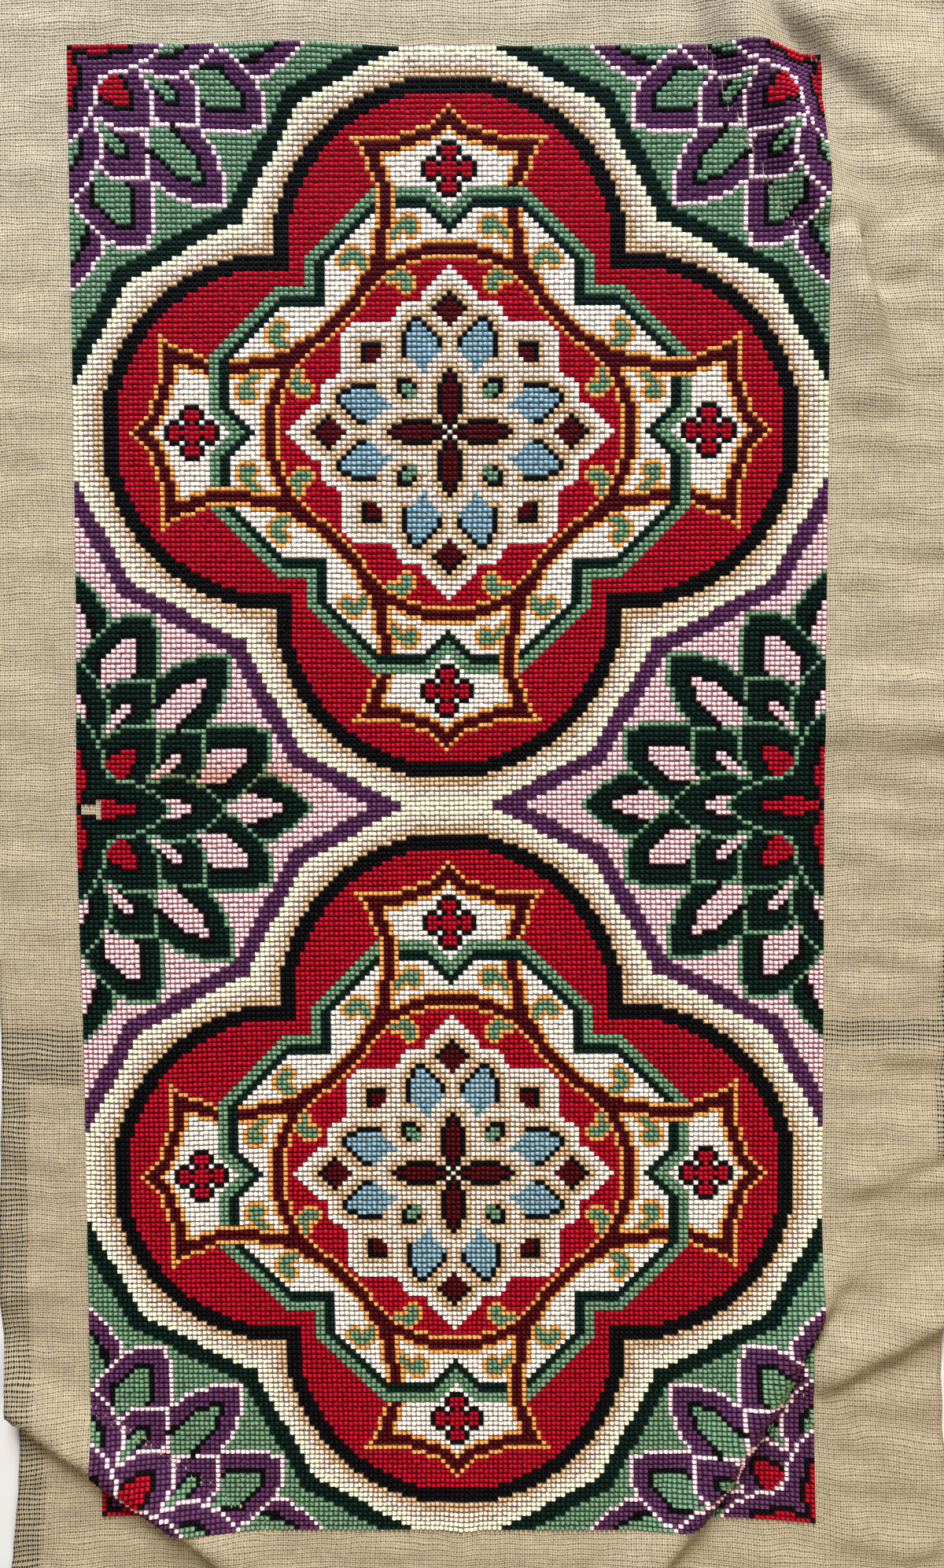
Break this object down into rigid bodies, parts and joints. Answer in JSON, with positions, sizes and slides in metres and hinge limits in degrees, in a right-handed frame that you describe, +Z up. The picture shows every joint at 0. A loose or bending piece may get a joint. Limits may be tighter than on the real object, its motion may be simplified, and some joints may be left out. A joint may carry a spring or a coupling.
{
  "type": "needlepoint canvas panel",
  "caption": "Needlepoint panel of wool cross stitch on a bare-edged woven canvas, lying flat and face up with puckered corners; a textile inlay for cushions, seats or rugs.",
  "frame": {"origin": "middle of the panel's outline, on the surface that it lies on", "axes": "+X across the panel to the right, +Y along its length to the top of the pattern, +Z up out of the stitched face"},
  "size_m": [0.4836, 0.8432, 0.0148],
  "materials": {
    "canvas": "open plain weave, matt beige",
    "wool": "wool cross stitch in several colours, soft sheen"
  },
  "bodies": {
    "root": {"canvas": "canvas", "stitched_field": "wool"}
  },
  "joints": []
}
